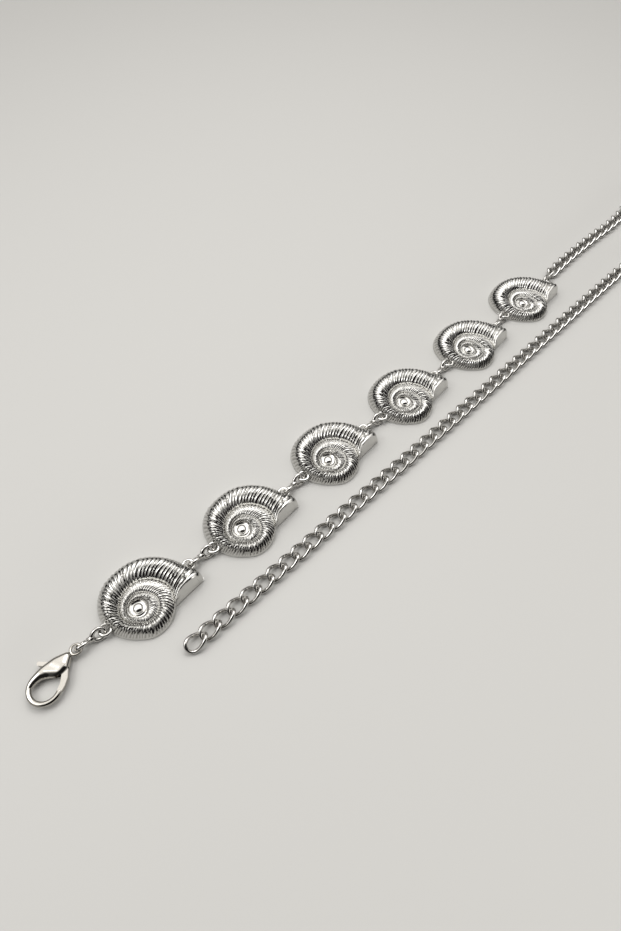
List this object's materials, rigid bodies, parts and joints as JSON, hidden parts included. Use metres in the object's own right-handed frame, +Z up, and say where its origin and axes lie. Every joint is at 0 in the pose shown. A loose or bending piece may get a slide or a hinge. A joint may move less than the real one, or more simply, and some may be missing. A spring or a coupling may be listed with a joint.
{
  "type": "waist chain with ammonite shell pendants and a lobster clasp",
  "caption": "Waist chain of cast ammonite shells joined by double links, with a lobster clasp and a long curb chain, lying flat.",
  "frame": {"origin": "middle of the whole layout's footprint, on the table that it lies on", "axes": "+X along the row of shells, away from the clasp; +Y across the row, away from the viewer and from the long run of chain; +Z up from the table"},
  "size_m": [0.4514, 0.0772, 0.0067],
  "materials": {
    "shell_plating": "bright plated cast zinc alloy",
    "clasp_nickel": "polished nickel plate, slightly warm",
    "chain_plating": "bright plated steel wire"
  },
  "bodies": {
    "belt": {"clasp_body": "clasp_nickel", "clasp_rivet": "clasp_nickel", "shell_1": "shell_plating", "shell_2": "shell_plating", "shell_3": "shell_plating", "shell_4": "shell_plating", "shell_5": "shell_plating", "shell_6": "shell_plating", "twin_link_1": "shell_plating", "twin_link_2": "shell_plating", "twin_link_3": "shell_plating", "twin_link_4": "shell_plating", "twin_link_5": "shell_plating", "twin_link_6": "shell_plating", "twin_link_7": "shell_plating", "curb_chain": "chain_plating"},
    "lever": {"clasp_lever": "clasp_nickel"}
  },
  "joints": [
    {"name": "lever_hinge", "type": "hinge", "parent": "belt", "child": "lever", "pos_m": [-0.21054, 0.01952, 0.0022], "axis": [0, 0, -1], "range_deg": [0, 22], "stiffness_Nm_per_rad": 0.01, "springref_deg": -11.46}
  ]
}
